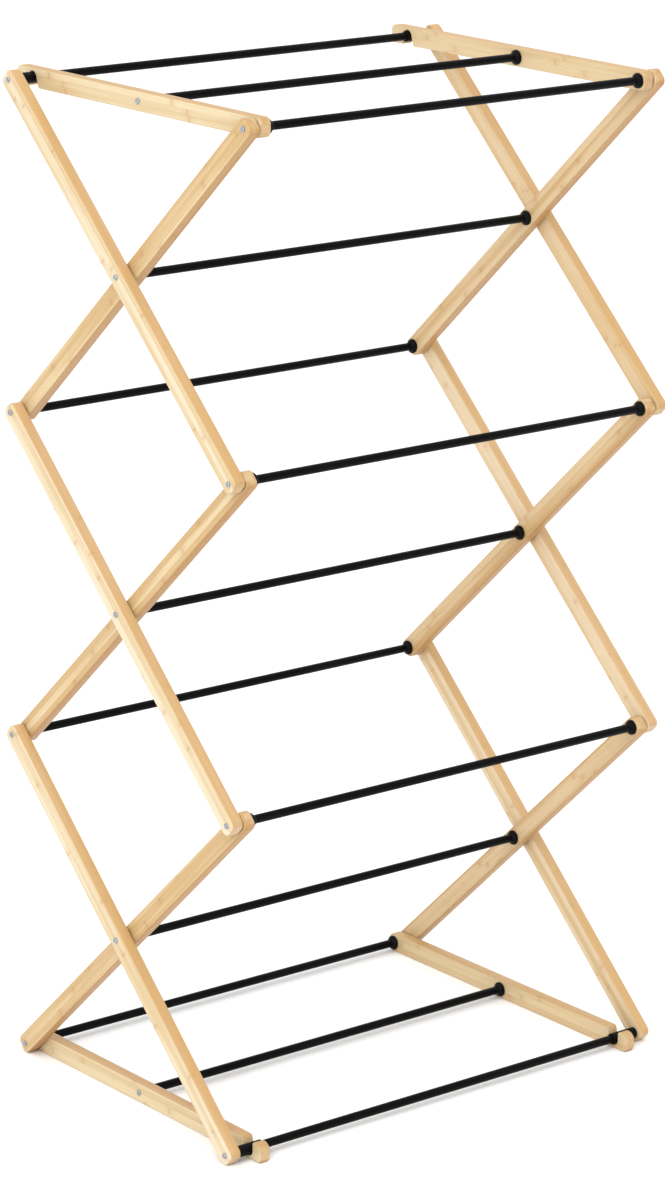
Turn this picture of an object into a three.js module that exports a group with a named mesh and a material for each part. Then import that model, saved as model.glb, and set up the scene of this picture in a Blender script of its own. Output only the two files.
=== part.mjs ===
// A free-standing folding drying rack. Each side is a bamboo lattice of three
// crossed pairs of arms, and 13 rods join the two sides. A level rail at the top
// and one at the bottom of each side hook onto a rod and hold the lattice open.
// Millimetres, +X along the rods, front towards -Y, +Z up, feet on Z = 0.
import * as THREE from 'three';

// ---- driving dimensions ----
const level_pitch = 350; // height from one row of end pivots to the next
const side_depth = 374; // front pivots to back pivots
const overall_width = 573; // over the outer faces of the outer arms
const level_count = 3; // crosses in each side

const slat_width = 20.5;
const slat_thickness = 13;
const slat_corner_radius = 7;
const washer_gap = 2; // between slats that turn on each other
const washer_diameter = 10;

const rod_diameter = 9;
const plug_flange_diameter = 16;
const plug_flange_thickness = 2.5;
const plug_cone_length = 5; // from the flange down to the rod
const sleeve_diameter = 12; // spacer sleeve in the hooks
const sleeve_overhang = 3.5; // how far the sleeve shows inside the rail
const top_middle_offset = 4; // the top middle rod sits this far behind the middle

const screw_diameter = 4;
const screw_head_diameter = 6;
const screw_head_height = 1.8;
const thread_depth = 12; // screw length inside the rod's plug

const top_hook_reach = 27; // rail's tip past the hooked rod's axis
const bottom_hook_reach = 20;
const hook_lip_drop = 0.75; // the lips stop this far short of the rail's other edge
const bottom_lip_reach = 14.2; // upright part of the bottom lip
const hook_mouth_flare = 3.4; // widening of the notch towards its mouth
const toe_height = 2.25; // the bottom lip's toe at its front end
const mouth_corner_radius = 3; // where the notch meets the rail's edge
const lip_corner_radius = 2.5; // on the lip, beside the notch
const top_tip_radius = 5.5;
const bottom_tip_radius = 3.5;
const toe_corner_radius = 1;

// ---- clearances ----
const touch_gap = 0.3; // between faces that rest on each other
const screw_clearance = 0.3; // round a screw in its hole
const hook_clearance = 0.6; // round the sleeve in the notch

// ---- worked out from the sizes above ----
const half_slat = slat_width / 2;
const layer_pitch = slat_thickness + washer_gap;
const lean = Math.atan2(side_depth, level_pitch); // arms from the vertical
const arm_length = Math.hypot(side_depth, level_pitch); // pivot to pivot
// The arms' rounded feet reach down exactly to the bottom rails' underside.
const slat_end_reach = slat_corner_radius
  + ((half_slat - slat_corner_radius) * (1 - Math.sin(lean))) / Math.cos(lean);
const front_y = -(side_depth + top_hook_reach - bottom_hook_reach) / 2;
const back_y = front_y + side_depth;
const middle_y = front_y + side_depth / 2;
const base_z = half_slat; // lowest row of pivots
const hole_radius = screw_diameter / 2 + screw_clearance;
const notch_radius = sleeve_diameter / 2 + hook_clearance;
const lip_edge = half_slat - hook_lip_drop; // from the hooked rod's axis

const level_z = (level) => base_z + level * level_pitch;
const outer_face = (layer) => overall_width / 2 - layer * layer_pitch;
const inner_face = (layer) => outer_face(layer) - slat_thickness;

// ---- sides and steps of round shapes ----
const ROD_SIDES = 14;
const SCREW_SIDES = 8;
const HOLE_SIDES = 10;
const CORNER_STEPS = 4;
const NOTCH_STEPS = 8;
const sharp = 0.01; // corner radius between two steps of a round stretch

// ---- materials ----
const bamboo = (colour) => () => new THREE.MeshStandardMaterial(
  { color: colour, roughness: 0.55, metalness: 0 });
const outer_bamboo = bamboo(0xecd2a6);
const inner_bamboo = bamboo(0xe6c48c);
const rail_bamboo = bamboo(0xe9cb98);
const black_rod = () => new THREE.MeshStandardMaterial(
  { color: 0x0b0b0c, roughness: 0.35, metalness: 0.4 });
const black_plastic = () => new THREE.MeshStandardMaterial(
  { color: 0x0d0d0f, roughness: 0.5, metalness: 0 });
const zinc = () => new THREE.MeshStandardMaterial(
  { color: 0x9aa3ad, roughness: 0.35, metalness: 0.9 });

const rack = new THREE.Group();

function add_mesh(name, geometry, material) {
  const mesh = new THREE.Mesh(geometry, material());
  mesh.name = name;
  rack.add(mesh);
  return mesh;
}

// ---- slats: outlines in (along, across), extruded through the thickness ----

// Rounds the corners of a closed outline. Each corner is [along, across, radius].
function rounded_outline(corners) {
  const shape = new THREE.Shape();
  corners.forEach(([x, y, radius], i) => {
    const corner = new THREE.Vector2(x, y);
    const before = new THREE.Vector2(...corners.at(i - 1)).sub(corner).normalize();
    const after = new THREE.Vector2(...corners[(i + 1) % corners.length]).sub(corner).normalize();
    const half_angle = Math.acos(THREE.MathUtils.clamp(before.dot(after), -1, 1)) / 2;
    const setback = radius / Math.tan(half_angle);
    const start = corner.clone().addScaledVector(before, setback);
    const end = corner.clone().addScaledVector(after, setback);
    const bisector = before.clone().add(after).normalize();
    const centre = corner.clone().addScaledVector(bisector, radius / Math.sin(half_angle));
    const from = start.clone().sub(centre).angle();
    const turn = Math.atan2(
      start.clone().sub(centre).cross(end.clone().sub(centre)),
      start.clone().sub(centre).dot(end.clone().sub(centre)));
    for (let step = 0; step <= CORNER_STEPS; step += 1) {
      const angle = from + (turn * step) / CORNER_STEPS;
      const px = centre.x + radius * Math.cos(angle);
      const py = centre.y + radius * Math.sin(angle);
      if (i === 0 && step === 0) shape.moveTo(px, py);
      else shape.lineTo(px, py);
    }
  });
  shape.closePath();
  return shape;
}

function drill(shape, along) {
  const hole = new THREE.Path();
  for (let side = 0; side < HOLE_SIDES; side += 1) {
    const angle = (-2 * Math.PI * side) / HOLE_SIDES;
    const x = along + hole_radius * Math.cos(angle);
    const y = hole_radius * Math.sin(angle);
    if (side === 0) hole.moveTo(x, y);
    else hole.lineTo(x, y);
  }
  hole.closePath();
  shape.holes.push(hole);
}

function slat_geometry(shape) {
  const geometry = new THREE.ExtrudeGeometry(shape, { depth: slat_thickness, bevelEnabled: false });
  // The outline's (along, across, through) become (Y, Z, X).
  geometry.applyMatrix4(new THREE.Matrix4().set(0, 0, 1, 0, 1, 0, 0, 0, 0, 1, 0, 0, 0, 0, 0, 1));
  return geometry;
}

// An arm is straight, with a hole at each end pivot and one in the middle.
function arm_geometry() {
  const tip = arm_length + slat_end_reach;
  const shape = rounded_outline([
    [-slat_end_reach, -half_slat, slat_corner_radius],
    [tip, -half_slat, slat_corner_radius],
    [tip, half_slat, slat_corner_radius],
    [-slat_end_reach, half_slat, slat_corner_radius],
  ]);
  [0, arm_length / 2, arm_length].forEach((along) => drill(shape, along));
  return slat_geometry(shape);
}

// The tip of a rail past its notch: the top rail has a long square tip, and the
// bottom rail has a short upright lip with a toe under it.
const top_tip = [
  [side_depth + notch_radius, -lip_edge, lip_corner_radius],
  [side_depth + top_hook_reach, -lip_edge, top_tip_radius],
  [side_depth + top_hook_reach, half_slat, top_tip_radius],
];
const bottom_tip = [
  [side_depth + notch_radius, -lip_edge, lip_corner_radius],
  [side_depth + bottom_lip_reach, -lip_edge, bottom_tip_radius],
  [side_depth + bottom_lip_reach, sleeve_diameter / 4, toe_corner_radius],
  [side_depth + bottom_hook_reach, half_slat - toe_height, toe_corner_radius],
  [side_depth + bottom_hook_reach, half_slat, toe_corner_radius],
];

// A rail runs from its pivot to its hook. The notch opens towards negative across.
function rail_geometry(tip, middle_along) {
  const notch = [];
  for (let step = 0; step <= NOTCH_STEPS; step += 1) {
    const angle = Math.PI - (Math.PI * step) / NOTCH_STEPS;
    notch.push([side_depth + notch_radius * Math.cos(angle), notch_radius * Math.sin(angle), sharp]);
  }
  const mouth = side_depth - notch_radius - hook_mouth_flare;
  const shape = rounded_outline([
    [-slat_end_reach, -half_slat, slat_corner_radius],
    [mouth, -half_slat, mouth_corner_radius],
    ...notch,
    ...tip,
    [-slat_end_reach, half_slat, slat_corner_radius],
  ]);
  [0, middle_along].forEach((along) => drill(shape, along));
  return slat_geometry(shape);
}

// Puts a slat in a layer of one side (-1 left, +1 right), from one pivot towards another.
function place_slat(name, geometry, material, side, layer, from, to) {
  const mesh = add_mesh(name, geometry, material);
  const outside = side * outer_face(layer);
  const inside = side * inner_face(layer);
  mesh.position.set(Math.min(outside, inside), from.y, from.z);
  mesh.rotation.x = Math.atan2(to.z - from.z, to.y - from.y);
  return mesh;
}

const front = (level) => ({ y: front_y, z: level_z(level) });
const back = (level) => ({ y: back_y, z: level_z(level) });
const sides = [['left', -1], ['right', 1]];
const stage_names = ['lower', 'middle', 'upper'];

sides.forEach(([side_name, side]) => {
  for (let stage = 0; stage < level_count; stage += 1) {
    const stage_name = stage_names[stage];
    place_slat(`outer_arm_${stage_name}_${side_name}`, arm_geometry(), outer_bamboo,
      side, 0, front(stage), back(stage + 1));
    place_slat(`inner_arm_${stage_name}_${side_name}`, arm_geometry(), inner_bamboo,
      side, 1, back(stage), front(stage + 1));
  }
  place_slat(`top_rail_${side_name}`, rail_geometry(top_tip, side_depth / 2 + top_middle_offset),
    rail_bamboo, side, 2, front(level_count), back(level_count));
  place_slat(`bottom_rail_${side_name}`, rail_geometry(bottom_tip, side_depth / 2),
    rail_bamboo, side, 2, back(0), front(0));
});

// ---- turned pieces: profiles of [radius, x], spun round the X axis ----
function turned_geometry(profile, segments) {
  const points = profile.map(([radius, x]) => new THREE.Vector2(radius, x));
  const geometry = new THREE.LatheGeometry(points, segments);
  geometry.rotateZ(-Math.PI / 2); // the lathe's Y axis becomes X
  return geometry;
}

// A rod with the plug in each end, down to the screw's blind hole. A rod that the
// rails hook onto has a plain plug, because a sleeve stands in place of its flange.
function rod_geometry(half_length, flanged) {
  const rod_radius = rod_diameter / 2;
  const end_radius = flanged ? plug_flange_diameter / 2 : rod_radius;
  const flange_end = half_length - plug_flange_thickness;
  const half_profile = [
    [0, half_length - thread_depth - touch_gap],
    [hole_radius, half_length - thread_depth - touch_gap],
    [hole_radius, half_length],
    [end_radius, half_length],
  ];
  if (flanged) half_profile.push([end_radius, flange_end], [rod_radius, flange_end - plug_cone_length]);
  const other_half = half_profile.map(([radius, x]) => [radius, -x]).reverse();
  return turned_geometry([...half_profile, ...other_half].reverse(), ROD_SIDES);
}

// A screw from its tip (inside) to its head (outside), with the washer it carries
// between two slats. Its outer end points along +X.
function screw_geometry(tip_x, seat_x, washer_x) {
  const radius = screw_diameter / 2;
  const head = screw_head_diameter / 2;
  const profile = [[0, tip_x], [radius, tip_x]];
  if (washer_x !== null) {
    const near = washer_x + touch_gap;
    const far = washer_x + washer_gap - touch_gap;
    profile.push([radius, near], [washer_diameter / 2, near], [washer_diameter / 2, far], [radius, far]);
  }
  const rim = seat_x + screw_head_height * 0.4; // a low pan head, narrower at its top
  const top = seat_x + screw_head_height;
  profile.push([radius, seat_x], [head, seat_x], [head, rim], [head * 0.6, top], [0, top]);
  return turned_geometry(profile, SCREW_SIDES);
}

function sleeve_geometry(inside_x, outside_x) {
  const bore = hole_radius;
  const outside = sleeve_diameter / 2;
  return turned_geometry(
    [[bore, inside_x], [outside, inside_x], [outside, outside_x], [bore, outside_x], [bore, inside_x]],
    ROD_SIDES);
}

// Each joint: its name, its place, the layer under the screw head, the layer that the
// rod's end bears on, and whether rails hook onto it.
const cross = (stage) => ({ y: middle_y, z: level_z(stage + 0.5) });
const mid_rail = (level, offset) => ({ y: middle_y + offset, z: level_z(level) });
const joints = [
  ['top_back', back(3), 0, 2, true],
  ['top_middle', mid_rail(3, top_middle_offset), 2, 2, false],
  ['top_front', front(3), 1, 2, false],
  ['cross_upper', cross(2), 0, 1, false],
  ['back_upper', back(2), 0, 1, false],
  ['front_upper', front(2), 0, 1, false],
  ['cross_middle', cross(1), 0, 1, false],
  ['back_lower', back(1), 0, 1, false],
  ['front_lower', front(1), 0, 1, false],
  ['cross_lower', cross(0), 0, 1, false],
  ['bottom_back', back(0), 1, 2, false],
  ['bottom_middle', mid_rail(0, 0), 2, 2, false],
  ['bottom_front', front(0), 0, 2, true],
];

joints.forEach(([name, place, head_layer, rod_layer, hooked]) => {
  const sleeve_start = inner_face(rod_layer) - sleeve_overhang;
  const half_length = (hooked ? sleeve_start : inner_face(rod_layer)) - touch_gap;
  const rod = add_mesh(`rod_${name}`, rod_geometry(half_length, !hooked), black_rod);
  rod.position.set(0, place.y, place.z);
  const has_washer = !hooked && rod_layer > head_layer;
  const washer_x = has_washer ? outer_face(rod_layer) : null;
  const tip_x = half_length - thread_depth;
  const seat_x = outer_face(head_layer) + touch_gap;
  sides.forEach(([side_name, side]) => {
    const turned = side < 0 ? Math.PI : 0;
    const screw = add_mesh(`screw_${name}_${side_name}`, screw_geometry(tip_x, seat_x, washer_x), zinc);
    screw.position.set(0, place.y, place.z);
    screw.rotation.z = turned;
    if (hooked) {
      const sleeve = add_mesh(`hook_sleeve_${name}_${side_name}`,
        sleeve_geometry(sleeve_start, inner_face(head_layer) - touch_gap), black_plastic);
      sleeve.position.set(0, place.y, place.z);
      sleeve.rotation.z = turned;
    }
  });
});

export default rack;
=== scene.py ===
import math

import bmesh
import bpy
import numpy as np
from mathutils import Matrix, Vector
from mathutils.geometry import tessellate_polygon


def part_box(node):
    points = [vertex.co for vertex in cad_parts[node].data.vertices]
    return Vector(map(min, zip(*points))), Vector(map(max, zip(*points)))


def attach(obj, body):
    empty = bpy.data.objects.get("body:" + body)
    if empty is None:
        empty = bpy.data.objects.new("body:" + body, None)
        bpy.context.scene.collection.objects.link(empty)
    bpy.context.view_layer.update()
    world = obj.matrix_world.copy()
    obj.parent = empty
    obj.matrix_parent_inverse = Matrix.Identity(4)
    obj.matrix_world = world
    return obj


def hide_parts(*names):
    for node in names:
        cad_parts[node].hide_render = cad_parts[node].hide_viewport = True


# A free-standing bamboo folding rack: two lattice sides of crossed slats, joined by
# black rods. Everything is in metres, placed from the frame's own boxes.
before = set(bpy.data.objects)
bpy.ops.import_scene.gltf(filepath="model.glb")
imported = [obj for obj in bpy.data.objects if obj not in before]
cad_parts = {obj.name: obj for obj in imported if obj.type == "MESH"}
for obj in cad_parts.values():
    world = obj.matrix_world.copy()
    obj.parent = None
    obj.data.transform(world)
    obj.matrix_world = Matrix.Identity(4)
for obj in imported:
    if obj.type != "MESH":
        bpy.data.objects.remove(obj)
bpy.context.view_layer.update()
mm = 0.001
sides = ((-1, "left"), (1, "right"))


def middle_of(node):
    """The centre of a frame node's box."""
    low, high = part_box(node)
    return (np.array(low) + np.array(high)) / 2


# ---------------------------------------------------------------- camera

def place_camera():
    """Stands the camera at the front left, a little above, turned about its target by
    azimuth (from +Y towards +X), elevation and a small roll."""
    azimuth, elevation, roll = (math.radians(a) for a in (38.89, 12.72, 0.64))
    distance = 4.599
    target_level = 2.15  # in rows of end pivots above the lowest row
    lowest, highest = middle_of("rod_bottom_back"), middle_of("rod_top_back")
    level = (highest[2] - lowest[2]) / 3
    sideways = -0.009 * level
    middle_y = (lowest[1] + middle_of("rod_bottom_front")[1]) / 2
    target = np.array([sideways * math.cos(azimuth),
                       middle_y - sideways * math.sin(azimuth),
                       lowest[2] + target_level * level])
    forward = np.array([math.sin(azimuth) * math.cos(elevation),
                        math.cos(azimuth) * math.cos(elevation),
                        -math.sin(elevation)])
    level_right = np.array([math.cos(azimuth), -math.sin(azimuth), 0.0])
    level_up = np.cross(level_right, forward)
    right = math.cos(roll) * level_right + math.sin(roll) * level_up
    up = np.cross(right, forward)
    camera_data = bpy.data.cameras.new("camera")
    camera_data.sensor_width = 36.0
    camera_data.lens = 132.0
    camera_data.shift_x = -0.002
    camera_data.shift_y = -0.2
    camera_data.clip_end = 200.0
    camera = bpy.data.objects.new("camera", camera_data)
    bpy.context.scene.collection.objects.link(camera)
    turned = Matrix([[right[i], up[i], -forward[i]] for i in range(3)]).to_4x4()
    camera.matrix_world = Matrix.Translation(Vector(target - forward * distance)) @ turned
    bpy.context.scene.camera = camera


place_camera()


# ---------------------------------------------------------------- mesh helpers

def turn_faces_out(mesh, merge=False):
    """Turns a closed mesh's faces outwards, after merging its doubles if asked."""
    work = bmesh.new()
    work.from_mesh(mesh)
    if merge:
        bmesh.ops.remove_doubles(work, verts=work.verts, dist=1e-6)
    bmesh.ops.recalc_face_normals(work, faces=work.faces)
    work.to_mesh(mesh)
    work.free()


def add_piece(name, mesh, material, body):
    """Puts a finished mesh in the scene, on the body that it moves with."""
    mesh.materials.append(material)
    piece = bpy.data.objects.new(name, mesh)
    bpy.context.scene.collection.objects.link(piece)
    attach(piece, body)
    return piece


def smooth_piece(name, vertices, faces, material, body):
    """Makes one smooth-shaded piece from arrays."""
    mesh = bpy.data.meshes.new(name)
    mesh.from_pydata(vertices.tolist(), [], faces)
    turn_faces_out(mesh, merge=True)
    mesh.shade_smooth()
    return add_piece(name, mesh, material, body)


def grid_faces(rows, columns):
    """Quads between neighbouring rows of a grid whose columns close on themselves."""
    row, column = np.meshgrid(np.arange(rows - 1), np.arange(columns), indexing="ij")
    after = (column + 1) % columns
    quads = np.stack([row * columns + column, row * columns + after,
                      (row + 1) * columns + after, (row + 1) * columns + column], axis=-1)
    return quads.reshape(-1, 4).tolist()


def spun(profile, segments, depth=None):
    """Turns a profile of (radius, x) about the X axis: y = radius cos(angle) and
    z = radius sin(angle). depth, if given, moves each point along X by depth(y, z, x)."""
    profile = np.asarray(profile, float)
    angle = np.arange(segments) * 2 * np.pi / segments
    y = profile[:, :1] * np.cos(angle)
    z = profile[:, :1] * np.sin(angle)
    x = np.repeat(profile[:, 1:], segments, axis=1)
    if depth is not None:
        x = x + depth(y, z, x)
    return np.stack([x, y, z], axis=-1).reshape(-1, 3), grid_faces(len(profile), segments)


blend_points = 5  # along each eased corner


def eased(corners):
    """Rounds a (radius, x) profile's corners. Each corner is (radius, x, rounding), and
    is swept by a quadratic blend from one rounding before it to one after it."""
    corners = np.asarray(corners, float)
    points, rounding = corners[:, :2], corners[:, 2]
    out = [points[0]]
    for i in range(1, len(points) - 1):
        before, after = points[i - 1] - points[i], points[i + 1] - points[i]
        start = points[i] + before / np.linalg.norm(before) * rounding[i]
        end = points[i] + after / np.linalg.norm(after) * rounding[i]
        t = np.linspace(0, 1, blend_points)[:, None] if rounding[i] else np.zeros((1, 1))
        out.extend((1 - t) ** 2 * start + 2 * t * (1 - t) * points[i] + t ** 2 * end)
    out.append(points[-1])
    return np.array(out)


# ---------------------------------------------------------------- node helpers

class Nodes:
    """A short way to write a material: each call adds a node and returns its output."""

    def __init__(self, name):
        self.material = bpy.data.materials.new(name)
        self.material.use_nodes = True
        self.tree = self.material.node_tree
        self.tree.nodes.clear()

    def add(self, kind, settings=None, **inputs):
        node = self.tree.nodes.new(kind)
        for key, value in (settings or {}).items():
            setattr(node, key, value)
        for key, value in inputs.items():
            socket = node.inputs[int(key[1:]) if key[1:].isdigit() else key.replace("_", " ")]
            if isinstance(value, bpy.types.NodeSocket):
                self.tree.links.new(value, socket)
            else:
                socket.default_value = value
        return node

    def math(self, operation, a, b=0.0):
        node = self.add("ShaderNodeMath", {"operation": operation}, i0=a, i1=b)
        return node.outputs[0]

    def scaled(self, vector, factors, offset=(0, 0, 0)):
        node = self.add("ShaderNodeMapping", None, Vector=vector)
        node.inputs["Scale"].default_value = factors
        node.inputs["Location"].default_value = offset
        return node.outputs[0]

    def noise(self, vector, detail=2.0, roughness=0.5):
        node = self.add("ShaderNodeTexNoise", None, Vector=vector, Scale=1.0, Detail=detail,
                        Roughness=roughness)
        return node.outputs["Fac"]

    def ramp(self, value, low, high, to_low=0.0, to_high=1.0):
        node = self.add("ShaderNodeMapRange", {"interpolation_type": "SMOOTHSTEP"}, Value=value)
        for key, number in (("From Min", low), ("From Max", high),
                            ("To Min", to_low), ("To Max", to_high)):
            node.inputs[key].default_value = number
        return node.outputs[0]

    def mix(self, factor, a, b):
        node = self.add("ShaderNodeMix", {"data_type": "RGBA"})
        for index, value in ((0, factor), (6, a), (7, b)):
            if isinstance(value, bpy.types.NodeSocket):
                self.tree.links.new(value, node.inputs[index])
            else:
                node.inputs[index].default_value = value
        return node.outputs[2]

    def bump(self, height, strength, distance):
        node = self.add("ShaderNodeBump", None, Height=height, Strength=strength,
                        Distance=distance)
        return node.outputs[0]

    def surface(self, **inputs):
        shader = self.add("ShaderNodeBsdfPrincipled", None, **inputs)
        output = self.add("ShaderNodeOutputMaterial")
        self.tree.links.new(shader.outputs[0], output.inputs["Surface"])
        return self.material


def colour(red, green, blue):
    """A display colour, 0 to 255, as linear light."""
    display = np.array([red, green, blue]) / 255
    linear = np.where(display <= 0.04045, display / 12.92, ((display + 0.055) / 1.055) ** 2.4)
    return (*[float(v) for v in linear], 1.0)


# ---------------------------------------------------------------- finishes

strip_width = 6.8 * mm  # three glued strips to a slat's width
layer_thickness = 6.5 * mm  # two layers through it
node_spacing = 0.21  # from one node of the bamboo to the next, along a strip
glue_colour = colour(180, 128, 72)
pore_colour = colour(150, 100, 50)
ring_colour = colour(160, 108, 56)
end_grain = (colour(205, 160, 100), colour(150, 104, 58))


def bamboo_finish(name, pale, honey, edge_and_shade):
    """Lacquered laminated bamboo. Three strips a slat, each with its own tone and its own
    darker nodes, long fibres, short dark pores and dark end grain. The narrow edges are made
    warmer and darker, partly the bamboo's own edge colour and partly painted shade, and the
    faces that look inwards get painted shade."""
    n = Nodes(name)
    place = n.add("ShaderNodeAttribute", {"attribute_name": "slat_place"}).outputs["Vector"]
    facing = n.add("ShaderNodeAttribute", {"attribute_name": "slat_facing"}).outputs["Vector"]
    along, across, through = n.add("ShaderNodeSeparateXYZ", None, Vector=place).outputs[:3]
    end, side, outward = n.add("ShaderNodeSeparateXYZ", None, Vector=facing).outputs[:3]
    # faces that look in towards the rack's middle, to be darkened with painted shade
    inward_painted_shade = n.ramp(outward, -0.9, -0.3, 1.0, 0.0)
    end = n.ramp(n.math("ABSOLUTE", end), 0.35, 0.85)
    # the narrow edges, to be made warmer and darker: partly their own colour, partly painted
    # shade
    side = n.ramp(n.math("ABSOLUTE", side), 0.3, 0.9)

    # strips across the slat, two layers through it
    wander = n.math("MULTIPLY", n.noise(n.scaled(place, (3, 20, 20))), 1.2 * mm)
    strips_across = n.math("DIVIDE", n.math("ADD", across, wander), strip_width)
    strip = n.math("FLOOR", strips_across)
    layer = n.math("FLOOR", n.math("DIVIDE", through, layer_thickness))
    strip_place = n.add("ShaderNodeCombineXYZ", None, X=strip, Y=layer).outputs[0]
    chance = n.add("ShaderNodeTexWhiteNoise", {"noise_dimensions": "2D"}, Vector=strip_place)
    tone = n.add("ShaderNodeSeparateColor", None, Color=chance.outputs["Color"]).outputs
    from_middle = n.math("ABSOLUTE", n.math("SUBTRACT", n.math("FRACT", strips_across), 0.5))
    glue_line = n.ramp(from_middle, 0.465, 0.5)

    # a dark ring at each node, and a warmer stretch on both sides of it
    shifted = n.math("ADD", n.math("DIVIDE", along, node_spacing), tone[1])
    from_node = n.math("ABSOLUTE", n.math("SUBTRACT", n.math("FRACT", shifted), 0.5))
    frayed = n.math("MULTIPLY", n.noise(n.scaled(place, (150, 900, 900))), 0.006)
    from_node = n.math("ADD", from_node, frayed)
    ring = n.ramp(from_node, 0.004, 0.014, 1.0, 0.0)
    halo = n.ramp(from_node, 0.01, 0.06, 1.0, 0.0)

    fibres = n.noise(n.scaled(place, (9, 900, 900)), detail=3.0, roughness=0.6)
    streaks = n.noise(n.scaled(place, (3.5, 170, 170), (2, 5, 1)), detail=2.0)
    pores = n.noise(n.scaled(place, (70, 3200, 3200), (7, 3, 2)), detail=1.0)
    pores = n.ramp(pores, 0.6, 0.74)
    cloud = n.noise(n.scaled(place, (5, 30, 30), (1, 2, 9)), detail=2.0)

    shade = n.math("ADD", n.math("MULTIPLY", tone[0], 0.42), n.math("MULTIPLY", streaks, 0.62))
    shade = n.math("ADD", shade, n.math("MULTIPLY", n.math("SUBTRACT", cloud, 0.5), 0.5))
    base = n.mix(n.ramp(shade, 0.34, 0.72), pale, honey)
    base = n.mix(n.math("MULTIPLY", n.ramp(fibres, 0.35, 0.75), 0.22), base, edge_and_shade)
    base = n.mix(n.math("MULTIPLY", pores, 0.2), base, pore_colour)
    base = n.mix(n.math("MULTIPLY", halo, 0.18), base, edge_and_shade)
    base = n.mix(n.math("MULTIPLY", ring, 0.3), base, ring_colour)
    base = n.mix(n.math("MULTIPLY", glue_line, 0.25), base, glue_colour)
    # narrow edges: the bamboo's warmer edge colour with painted shade over it
    base = n.mix(n.math("MULTIPLY", side, 0.76), base, edge_and_shade)
    # painted shade on the faces that look inwards
    base = n.mix(n.math("MULTIPLY", inward_painted_shade, 0.25), base, edge_and_shade)
    stipple = n.noise(n.scaled(place, (400, 1500, 1500)), detail=2.0)
    end_colour = n.mix(n.ramp(stipple, 0.4, 0.62), *end_grain)
    base = n.mix(n.math("MULTIPLY", end, 0.5), base, end_colour)

    rough = n.ramp(fibres, 0.3, 0.8, 0.42, 0.56)
    height = n.math("ADD", n.math("MULTIPLY", fibres, 0.5), n.math("MULTIPLY", pores, -0.5))
    height = n.math("ADD", height, n.math("MULTIPLY", ring, 0.8))
    height = n.math("ADD", height, n.math("MULTIPLY", glue_line, -0.5))
    normal = n.bump(height, 0.35, 0.00012)
    return n.surface(Base_Color=base, Roughness=rough, Normal=normal, Coat_Weight=0.12,
                     Coat_Roughness=0.3, Specular_IOR_Level=0.4)


def black_enamel():
    """Baked black paint on tube: near black, faint orange peel and a few paler rubs."""
    n = Nodes("black_enamel")
    place = n.add("ShaderNodeTexCoord").outputs["Object"]
    peel = n.noise(n.scaled(place, (900, 900, 900)), detail=2.0)
    rubs = n.noise(n.scaled(place, (14, 160, 160)), detail=3.0, roughness=0.65)
    base = n.mix(n.ramp(rubs, 0.5, 0.8), colour(3, 3, 4), colour(14, 14, 15))
    rough = n.ramp(rubs, 0.3, 0.75, 0.28, 0.44)
    return n.surface(Base_Color=base, Roughness=rough, Normal=n.bump(peel, 0.25, 0.0001),
                     Specular_IOR_Level=0.07)


def black_moulding():
    """Moulded black plastic with a fine matt grain."""
    n = Nodes("black_moulding")
    place = n.add("ShaderNodeTexCoord").outputs["Object"]
    grain = n.noise(n.scaled(place, (2200, 2200, 2200)), detail=2.0)
    worn = n.noise(n.scaled(place, (120, 120, 120)), detail=2.0)
    base = n.mix(n.ramp(worn, 0.45, 0.75), colour(5, 5, 6), colour(15, 15, 16))
    rough = n.ramp(grain, 0.3, 0.7, 0.42, 0.6)
    return n.surface(Base_Color=base, Roughness=rough, Normal=n.bump(grain, 0.3, 0.00008),
                     Specular_IOR_Level=0.09)


def zinc_plate():
    """Blue-white zinc plating with soft mottling and rubbed high spots."""
    n = Nodes("zinc_plate")
    place = n.add("ShaderNodeTexCoord").outputs["Object"]
    mottle = n.noise(n.scaled(place, (700, 700, 700)), detail=3.0)
    base = n.mix(n.ramp(mottle, 0.35, 0.7), colour(140, 152, 170), colour(188, 196, 206))
    rough = n.ramp(mottle, 0.3, 0.7, 0.26, 0.42)
    return n.surface(Base_Color=base, Roughness=rough, Normal=n.bump(mottle, 0.2, 0.00005),
                     Metallic=1.0)


# each finish: pale, honey and a warm edge colour; the edge colour is also laid on as painted
# shade, on the narrow edges and on the faces that look inwards
outer_bamboo = bamboo_finish("outer_bamboo", colour(223, 209, 181), colour(204, 181, 138),
                             colour(189, 145, 86))
inner_bamboo = bamboo_finish("inner_bamboo", colour(216, 197, 158), colour(193, 161, 110),
                             colour(171, 121, 62))
rail_bamboo = bamboo_finish("rail_bamboo", colour(215, 198, 161), colour(199, 173, 128),
                            colour(182, 139, 82))
enamel = black_enamel()
moulding = black_moulding()
zinc = zinc_plate()


# ---------------------------------------------------------------- slats

ease = 1.1 * mm  # rounding along every long edge
slat_corner = 7 * mm
hole_radius = 2.3 * mm
hole_sides = 20
arc_steps = 8  # along each rounded corner


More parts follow.
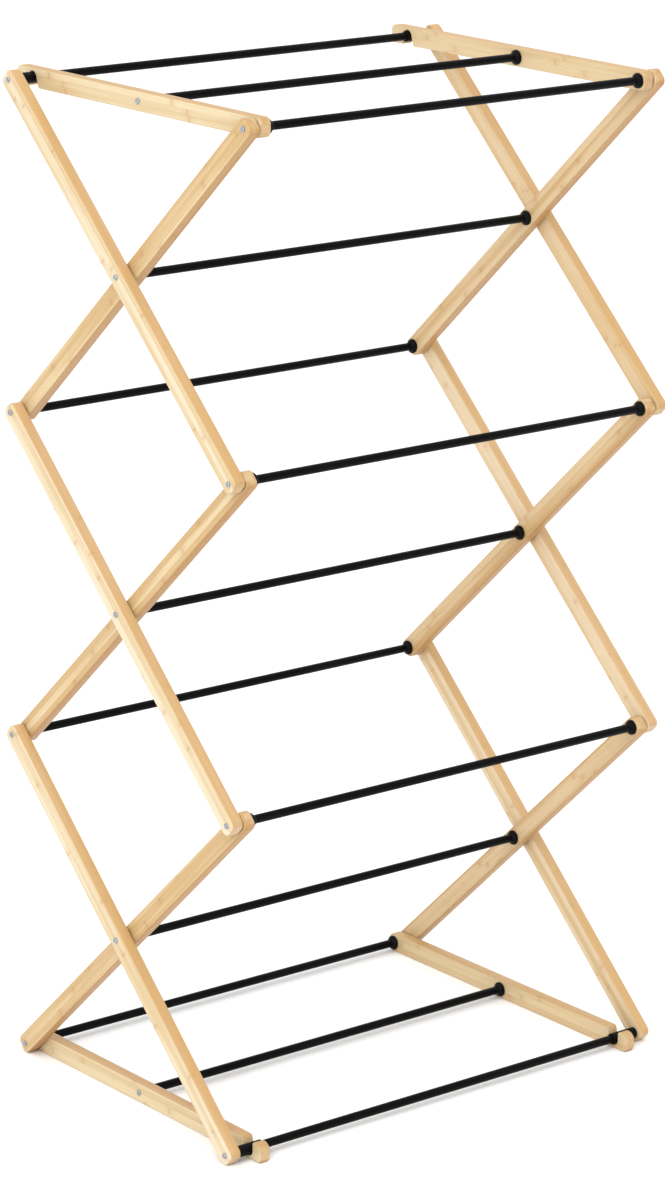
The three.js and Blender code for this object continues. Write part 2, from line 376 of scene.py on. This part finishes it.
def rounded_outline(corners):
    """An outline through corners (along, across, rounding), anticlockwise. Each corner
    becomes an arc tangent to both its sides. Returns the points and outward normals."""
    corners = np.asarray(corners, float)
    here, rounding = corners[:, :2], corners[:, 2]
    before = np.roll(here, 1, axis=0) - here
    after = np.roll(here, -1, axis=0) - here
    before /= np.linalg.norm(before, axis=1, keepdims=True)
    after /= np.linalg.norm(after, axis=1, keepdims=True)
    half = np.arccos(np.clip((before * after).sum(axis=1), -1, 1)) / 2
    bisector = (before + after) / np.linalg.norm(before + after, axis=1, keepdims=True)
    centre = here + bisector * (rounding / np.sin(half))[:, None]
    hollow = before[:, 0] * after[:, 1] - before[:, 1] * after[:, 0] > 0
    start = here + before * (rounding / np.tan(half))[:, None] - centre
    end = here + after * (rounding / np.tan(half))[:, None] - centre
    turn = np.arctan2(start[:, 0] * end[:, 1] - start[:, 1] * end[:, 0],
                      (start * end).sum(axis=1))
    angle = (np.arctan2(start[:, 1], start[:, 0])[:, None]
             + turn[:, None] * np.linspace(0, 1, arc_steps + 1))
    ray = np.stack([np.cos(angle), np.sin(angle)], axis=-1)
    points = centre[:, None] + rounding[:, None, None] * ray
    normals = np.where(hollow[:, None, None], -ray, ray)
    return points.reshape(-1, 2), normals.reshape(-1, 2)


def slat_piece(node, outline, normals, holes, pivot, heading, middle_x, thickness, seed,
               material, body):
    """A flat slat: its outline is carried through the thickness on rings that step in by
    ease (1 - sin a) while they rise by ease (1 - cos a), a from 0 to 90 degrees, so the
    long edges are quarter rounds. The flat faces are filled round the screw holes. Each
    point keeps its place in the bamboo and the way it faces, for the material."""
    half = thickness / 2
    a = np.linspace(0, np.pi / 2, 4)
    inset = ease * (1 - np.sin(a))
    height = half - ease * (1 - np.cos(a))
    inset = np.concatenate([inset, inset[::-1]])
    height = np.concatenate([height, -height[::-1]])
    tilt = np.concatenate([np.sin(a), np.sin(a[::-1])])
    count = len(outline)
    flat = outline[None] - inset[:, None, None] * normals[None]
    ring_place = np.concatenate(
        [flat, np.repeat(height[:, None, None], count, axis=1)], axis=-1)
    lean = np.repeat(np.sign(height)[:, None, None], count, axis=1)
    ring_facing = np.concatenate(
        [tilt[:, None, None] * normals[None],
         lean * np.sqrt(np.clip(1 - tilt ** 2, 0, 1))[:, None, None]], axis=-1)
    turn = np.arange(hole_sides) * 2 * np.pi / hole_sides
    circle = hole_radius * np.stack([np.cos(turn), np.sin(turn)], axis=-1)
    places, facings = [ring_place.reshape(-1, 3)], [ring_facing.reshape(-1, 3)]
    faces = grid_faces(len(inset), count)
    first_hole = len(inset) * count
    loops = {1: [np.arange(count)], -1: [np.arange(count) + (len(inset) - 1) * count]}
    for index, hole in enumerate(holes):
        rim = circle + [hole, 0]
        for level, face in enumerate((1, -1)):
            places.append(np.column_stack([rim, np.full(hole_sides, face * half)]))
            facings.append(np.tile([0.0, 0.0, float(face)], (hole_sides, 1)))
            start = first_hole + (2 * index + level) * hole_sides
            loops[face].append(np.arange(hole_sides) + start)
        wall = np.array(grid_faces(2, hole_sides)) + first_hole + 2 * index * hole_sides
        faces += wall.tolist()
    place, facing = np.concatenate(places), np.concatenate(facings)
    for face, rings in loops.items():
        ids = np.concatenate(rings)
        filled = tessellate_polygon([[Vector((*place[i, :2], 0)) for i in ring]
                                     for ring in rings])
        faces += [[int(ids[i]) for i in triangle] for triangle in filled]
    turned = np.column_stack([
        middle_x + place[:, 2],
        pivot[1] + place[:, 0] * heading[0] - place[:, 1] * heading[1],
        pivot[2] + place[:, 0] * heading[1] + place[:, 1] * heading[0]])
    mesh = bpy.data.meshes.new(node)
    mesh.from_pydata(turned.tolist(), [], faces)
    # each slat is cut from its own stretch of the bamboo
    chance = np.random.default_rng(seed)
    shift = chance.uniform(0, 1, 3) * [3.0, strip_width, layer_thickness]
    shift += [0, strip_width * seed * 7, 0]
    outward = np.sign(middle_x)
    for name, values in (("slat_place", place + shift),
                         ("slat_facing", facing * (1, 1, outward))):
        layer = mesh.attributes.new(name, "FLOAT_VECTOR", "POINT")
        layer.data.foreach_set("vector", values.astype(np.float32).ravel())
    turn_faces_out(mesh)
    flat_face = [len(polygon.vertices) == 3 for polygon in mesh.polygons]
    mesh.polygons.foreach_set("use_smooth", np.logical_not(flat_face))
    piece = add_piece("slat_" + node, mesh, material, body)
    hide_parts(node)


def slat_between(node, start_joint, end_joint, outline, normals, holes, seed, material,
                 body):
    """Lays a slat from the start joint towards the end joint, in its frame node's layer."""
    low, high = (np.array(v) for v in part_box(node))
    start, end = middle_of(start_joint), middle_of(end_joint)
    heading = (end - start)[1:] / np.linalg.norm((end - start)[1:])
    slat_piece(node, outline, normals, holes, start, heading, (low[0] + high[0]) / 2,
               high[0] - low[0], seed, material, body)


rail_low, rail_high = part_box("top_rail_left")
slat_width = rail_high[2] - rail_low[2]
half_width = slat_width / 2
front, back = middle_of("rod_top_front"), middle_of("rod_top_back")
depth = back[1] - front[1]
pitch = middle_of("rod_front_upper")[2] - middle_of("rod_front_lower")[2]
arm_length = math.hypot(depth, pitch)
lean = math.atan2(depth, pitch)
end_reach = slat_corner + (half_width - slat_corner) * (1 - math.sin(lean)) / math.cos(lean)
sleeve_low, sleeve_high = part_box("hook_sleeve_top_back_left")
sleeve_radius = (sleeve_high[2] - sleeve_low[2]) / 2
notch_radius = sleeve_radius + 0.6 * mm  # clearance round the sleeve
mouth_flare = 3.4 * mm  # widening of the notch towards its mouth
lip_edge = -(half_width - 0.75 * mm)  # the lips stop short of the rail's other edge


def arm_outline():
    """A straight slat, rounded at all four corners, from one end pivot past the other."""
    tip = arm_length + end_reach
    return rounded_outline([(-end_reach, -half_width, slat_corner),
                            (tip, -half_width, slat_corner),
                            (tip, half_width, slat_corner),
                            (-end_reach, half_width, slat_corner)])


def rail_outline(tip):
    """A slat with a round-bottomed notch over the hooked rod, flared on its near side,
    and the given tip past it."""
    notch = [(depth + notch_radius * math.cos(t), notch_radius * math.sin(t), 0.01 * mm)
             for t in np.linspace(np.pi, 0, 15)]
    mouth = depth - notch_radius - mouth_flare
    return rounded_outline([(-end_reach, -half_width, slat_corner),
                            (mouth, -half_width, 3 * mm), *notch, *tip,
                            (-end_reach, half_width, slat_corner)])


top_reach = rail_high[1] - back[1]
bottom_reach = middle_of("rod_bottom_front")[1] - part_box("bottom_rail_left")[0][1]
top_tip = [(depth + notch_radius, lip_edge, 2.5 * mm),
           (depth + top_reach, lip_edge, 5.5 * mm),
           (depth + top_reach, half_width, 5.5 * mm)]
bottom_tip = [(depth + notch_radius, lip_edge, 2.5 * mm),
              (depth + bottom_reach, lip_edge, 9 * mm),
              (depth + bottom_reach, half_width, 5 * mm)]

arm_points, arm_normals = arm_outline()
stages = ("lower", "middle", "upper")
front_rods = ("rod_bottom_front", "rod_front_lower", "rod_front_upper", "rod_top_front")
back_rods = ("rod_bottom_back", "rod_back_lower", "rod_back_upper", "rod_top_back")
for side_number, (_, side) in enumerate(sides):
    for stage_number, stage in enumerate(stages):
        seed = 20 * side_number + stage_number
        slat_between(f"outer_arm_{stage}_{side}", front_rods[stage_number],
                     back_rods[stage_number + 1], arm_points, arm_normals,
                     (0, arm_length / 2, arm_length), seed, outer_bamboo,
                     f"{stage}_outer")
        slat_between(f"inner_arm_{stage}_{side}", back_rods[stage_number],
                     front_rods[stage_number + 1], arm_points, arm_normals,
                     (0, arm_length / 2, arm_length), seed + 5, inner_bamboo,
                     f"{stage}_inner")
    for number, (rail, start, end, middle, tip, body) in enumerate((
            ("top_rail", "rod_top_front", "rod_top_back", "rod_top_middle", top_tip,
             "top_frame"),
            ("bottom_rail", "rod_bottom_back", "rod_bottom_front", "rod_bottom_middle",
             bottom_tip, "base"))):
        points, normals = rail_outline(tip)
        to_middle = abs(middle_of(middle)[1] - middle_of(start)[1])
        slat_between(f"{rail}_{side}", start, end, points, normals, (0, to_middle),
                     20 * side_number + 11 + number, rail_bamboo, body)


# ---------------------------------------------------------------- rods, plugs, screws

rods = {  # rod: body, whether it has flanged plugs
    "top_back": ("upper_outer", False), "top_middle": ("top_frame", True),
    "top_front": ("upper_inner", True), "cross_upper": ("upper_inner", True),
    "back_upper": ("middle_outer", True), "front_upper": ("middle_inner", True),
    "cross_middle": ("middle_inner", True), "back_lower": ("lower_outer", True),
    "front_lower": ("lower_inner", True), "cross_lower": ("lower_inner", True),
    "bottom_back": ("base", True), "bottom_middle": ("base", True),
    "bottom_front": ("lower_outer", False),
}
screwed = {  # slat: the rods that are screwed through it
    "outer_arm_lower": ("bottom_front", "cross_lower", "back_lower"),
    "outer_arm_middle": ("front_lower", "cross_middle", "back_upper"),
    "outer_arm_upper": ("front_upper", "cross_upper", "top_back"),
    "inner_arm_lower": ("bottom_back", "cross_lower", "front_lower"),
    "inner_arm_middle": ("back_lower", "cross_middle", "front_upper"),
    "inner_arm_upper": ("back_upper", "cross_upper", "top_front"),
    "top_rail": ("top_front", "top_middle"),
    "bottom_rail": ("bottom_back", "bottom_middle"),
}

rod_radius = 4.5 * mm
tube_wall = 0.6 * mm
plug_depth = 14 * mm  # from the plug's outer face to its end inside the tube
flanged_inset = 6 * mm  # the tube stops this far short of a flanged plug's face
plain_inset = 1.2 * mm

screw_radius = 2 * mm
head_radius = 3 * mm
dome_rings = 12
dome_height = 0.95 * mm
head_gap = 0.05 * mm  # under the head

washer_bore, washer_radius = 2.1 * mm, 5 * mm
washer_gap = 0.3 * mm  # from the slat's face to the washer
washer_thickness = 1.4 * mm
sleeve_bore = 2.4 * mm


def placed(vertices, joint, side):
    """Moves a piece spun about X to its joint; side -1 turns it half round about Z."""
    vertices = vertices * (side, side, 1.0)
    return vertices + (0.0, joint[1], joint[2])


def outer_faces(name, side_name):
    """How far out the slats on a rod's screw reach, from the innermost slat outwards."""
    slats = [f"{slat}_{side_name}" for slat, names in screwed.items() if name in names]
    return sorted(np.abs(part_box(slat)).max(axis=0)[0] for slat in slats)


def build_tube(name, body, joint, tube_end):
    """A rod's tube: its wall's outline is spun, with both rims rounded."""
    bore = rod_radius - tube_wall
    outside = eased([(rod_radius, 0, 0), (rod_radius, tube_end, 0.25 * mm),
                     (bore, tube_end, 0.2 * mm), (bore, tube_end - 9 * mm, 0)])
    profile = np.concatenate([outside[::-1] * (1, -1), outside[1:]])
    profile = np.concatenate([profile, profile[:1]])
    vertices, faces = spun(profile, segments=40)
    tube = smooth_piece("tube_" + name, placed(vertices, joint, 1), faces, enamel, body)
    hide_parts("rod_" + name)


def build_plug(name, body, joint, side, side_name, half, tube_end, flange_radius):
    """A plug: a collar inside the tube, then a cone out to a flange against the slat, or,
    with no flange, a plain end as wide as the tube. It is bored for the screw."""
    inner = rod_radius - tube_wall - 0.05 * mm
    shoulder = tube_end + 0.1 * mm
    if flange_radius > rod_radius:
        head = [(rod_radius + 0.5 * mm, shoulder, 0.3 * mm),
                (flange_radius - 1.5 * mm, half - 2.9 * mm, 1.0 * mm),
                (flange_radius, half - 2.3 * mm, 0.7 * mm), (flange_radius, half, 0.5 * mm)]
    else:
        head = [(rod_radius, shoulder, 0.2 * mm), (rod_radius, half, 0.3 * mm)]
    bore_end = (hole_radius, half - 8 * mm, 0)
    corners = [bore_end, (inner, half - plug_depth, 0.6 * mm), (inner, shoulder, 0.05 * mm),
               *head, (hole_radius, half, 0.2 * mm), bore_end]
    vertices, faces = spun(eased(corners), segments=40)
    smooth_piece(f"plug_{name}_{side_name}", placed(vertices, joint, side), faces, moulding,
                 body)


def build_rod(name, body, flanged):
    """The tube, and a plug at each end."""
    low, high = (np.array(v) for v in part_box("rod_" + name))
    joint, half = (low + high) / 2, (high[0] - low[0]) / 2
    tube_end = half - (flanged_inset if flanged else plain_inset)
    flange_radius = (high[2] - low[2]) / 2 if flanged else rod_radius
    build_tube(name, body, joint, tube_end)
    for side, side_name in sides:
        build_plug(name, body, joint, side, side_name, half, tube_end, flange_radius)


def cross_recess(y, z, x):
    """Sinks a cross into a screw's head: two bars about a sixth of the head wide and
    deepest in the middle, on the points of the head's outer face alone."""
    bar = np.minimum(np.abs(y), np.abs(z)) / (0.55 * mm)
    reach = np.hypot(y, z) / (1.8 * mm)
    inside = (1 - np.clip(bar, 0, 1) ** 6) * (1 - np.clip(reach, 0, 1) ** 4)
    on_top = x > x.max() - 1.0 * mm
    return np.where(on_top, -0.9 * mm * inside, 0.0)


def build_screw(name, side_name, side, body, seat):
    """A pan-head screw whose head bears on seat: a dome that drops from its top by its
    height times (r / head radius) ^ 2.6, a rolled rim, the flat under the head, the shank
    and the tip."""
    node = f"screw_{name}_{side_name}"
    low, high = (np.array(v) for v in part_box(node))
    outer, tip = (high[0], low[0]) if side > 0 else (-low[0], -high[0])
    share = np.arange(dome_rings) / dome_rings
    dome = np.stack([share * head_radius, outer - dome_height * share ** 2.6], axis=-1)
    rim = eased([(*dome[-1], 0), (head_radius, outer - 1.05 * mm, 0.2 * mm),
                 (head_radius, seat, 0.2 * mm), (screw_radius, seat, 0),
                 (screw_radius, tip + 2 * mm, 0), (0.3 * mm, tip, 0), (0.0, tip, 0)])
    vertices, faces = spun(np.concatenate([dome, rim[1:]]), segments=48, depth=cross_recess)
    screw = smooth_piece(f"pan_{name}_{side_name}", placed(vertices, (low + high) / 2, side),
                         faces, zinc, body)
    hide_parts(node)


def build_washer(name, side_name, side, body, slat_face):
    """A thin washer in the gap just outside the inner slat's outer face."""
    near = slat_face + washer_gap
    far = near + washer_thickness
    corners = [(washer_bore, near, 0), (washer_radius, near, 0.3 * mm),
               (washer_radius, far, 0.3 * mm), (washer_bore, far, 0), (washer_bore, near, 0)]
    vertices, faces = spun(eased(corners), segments=32)
    vertices = placed(vertices, middle_of("rod_" + name), side)
    smooth_piece(f"washer_{name}_{side_name}", vertices, faces, zinc, body)


def build_sleeve(name, side_name, side, body):
    """The black spacer sleeve that a rail hooks over, rounded at both rims."""
    node = f"hook_sleeve_{name}_{side_name}"
    low, high = (np.array(v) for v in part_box(node))
    start, stop = (low[0], high[0]) if side > 0 else (-high[0], -low[0])
    corners = [(sleeve_bore, start, 0), (sleeve_radius, start, 0.8 * mm),
               (sleeve_radius, stop, 0.5 * mm), (sleeve_bore, stop, 0), (sleeve_bore, start, 0)]
    vertices, faces = spun(eased(corners), segments=40)
    sleeve = smooth_piece(f"sleeve_{name}_{side_name}", placed(vertices, (low + high) / 2, side),
                          faces, moulding, body)
    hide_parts(node)


for name, (body, flanged) in rods.items():
    build_rod(name, body, flanged)
    for side, side_name in sides:
        slat_faces = outer_faces(name, side_name)
        build_screw(name, side_name, side, body, slat_faces[-1] + head_gap)
        if len(slat_faces) == 2:
            build_washer(name, side_name, side, body, slat_faces[0])
        if not flanged:
            build_sleeve(name, side_name, side, body)


# ---------------------------------------------------------------- floor and light

def build_floor():
    """A plain pale floor: a square grid of 20 by 20 faces, two metres each, just under the
    feet."""
    count = 20
    line = np.linspace(-20, 20, count + 1)
    x, y = np.meshgrid(line, line)
    points = np.stack([x, y, np.full_like(x, -0.2 * mm)], axis=-1).reshape(-1, 3)
    row, column = np.meshgrid(np.arange(count), np.arange(count), indexing="ij")
    corner = row * (count + 1) + column
    quads = np.stack([corner, corner + 1, corner + count + 2, corner + count + 1], axis=-1)
    mesh = bpy.data.meshes.new("floor")
    mesh.from_pydata(points.tolist(), [], quads.reshape(-1, 4).tolist())
    n = Nodes("studio_floor")
    place = n.add("ShaderNodeTexCoord").outputs["Object"]
    soft = n.noise(n.scaled(place, (1.5, 1.5, 1.5)))
    base = n.mix(soft, colour(250, 250, 250), colour(253, 253, 253))
    mesh.materials.append(n.surface(Base_Color=base, Roughness=0.9, Specular_IOR_Level=0.1))
    floor = bpy.data.objects.new("floor", mesh)
    bpy.context.scene.collection.objects.link(floor)


def add_light(name, place, aim, power, size):
    """A soft square light at place, facing aim."""
    data = bpy.data.lights.new(name, "AREA")
    data.energy = power
    data.size = size
    light = bpy.data.objects.new(name, data)
    light.location = place
    light.rotation_mode = "QUATERNION"
    light.rotation_quaternion = (Vector(aim) - Vector(place)).to_track_quat("-Z", "Y")
    bpy.context.scene.collection.objects.link(light)


def add_sun(name, aim, strength, spread):
    """A broad even light from far off, shining along aim, spread in degrees."""
    data = bpy.data.lights.new(name, "SUN")
    data.energy = strength
    data.angle = math.radians(spread)
    light = bpy.data.objects.new(name, data)
    light.rotation_mode = "QUATERNION"
    light.rotation_quaternion = Vector(aim).to_track_quat("-Z", "Y")
    bpy.context.scene.collection.objects.link(light)


build_floor()
middle = (0, 0, 0.55)
add_sun("window", (0.5, 0.42, -0.95), 0.85, 50)
add_light("key", (-3.2, -1.7, 2.6), middle, 36, 2.0)
add_light("top", (0.2, 0.2, 3.0), middle, 9, 2.2)
world = bpy.data.worlds.new("studio")
world.use_nodes = True
world.node_tree.nodes["Background"].inputs["Color"].default_value = (1, 1, 1, 1)
world.node_tree.nodes["Background"].inputs["Strength"].default_value = 1.0
bpy.context.scene.world = world
bpy.context.scene.view_settings.view_transform = "Standard"
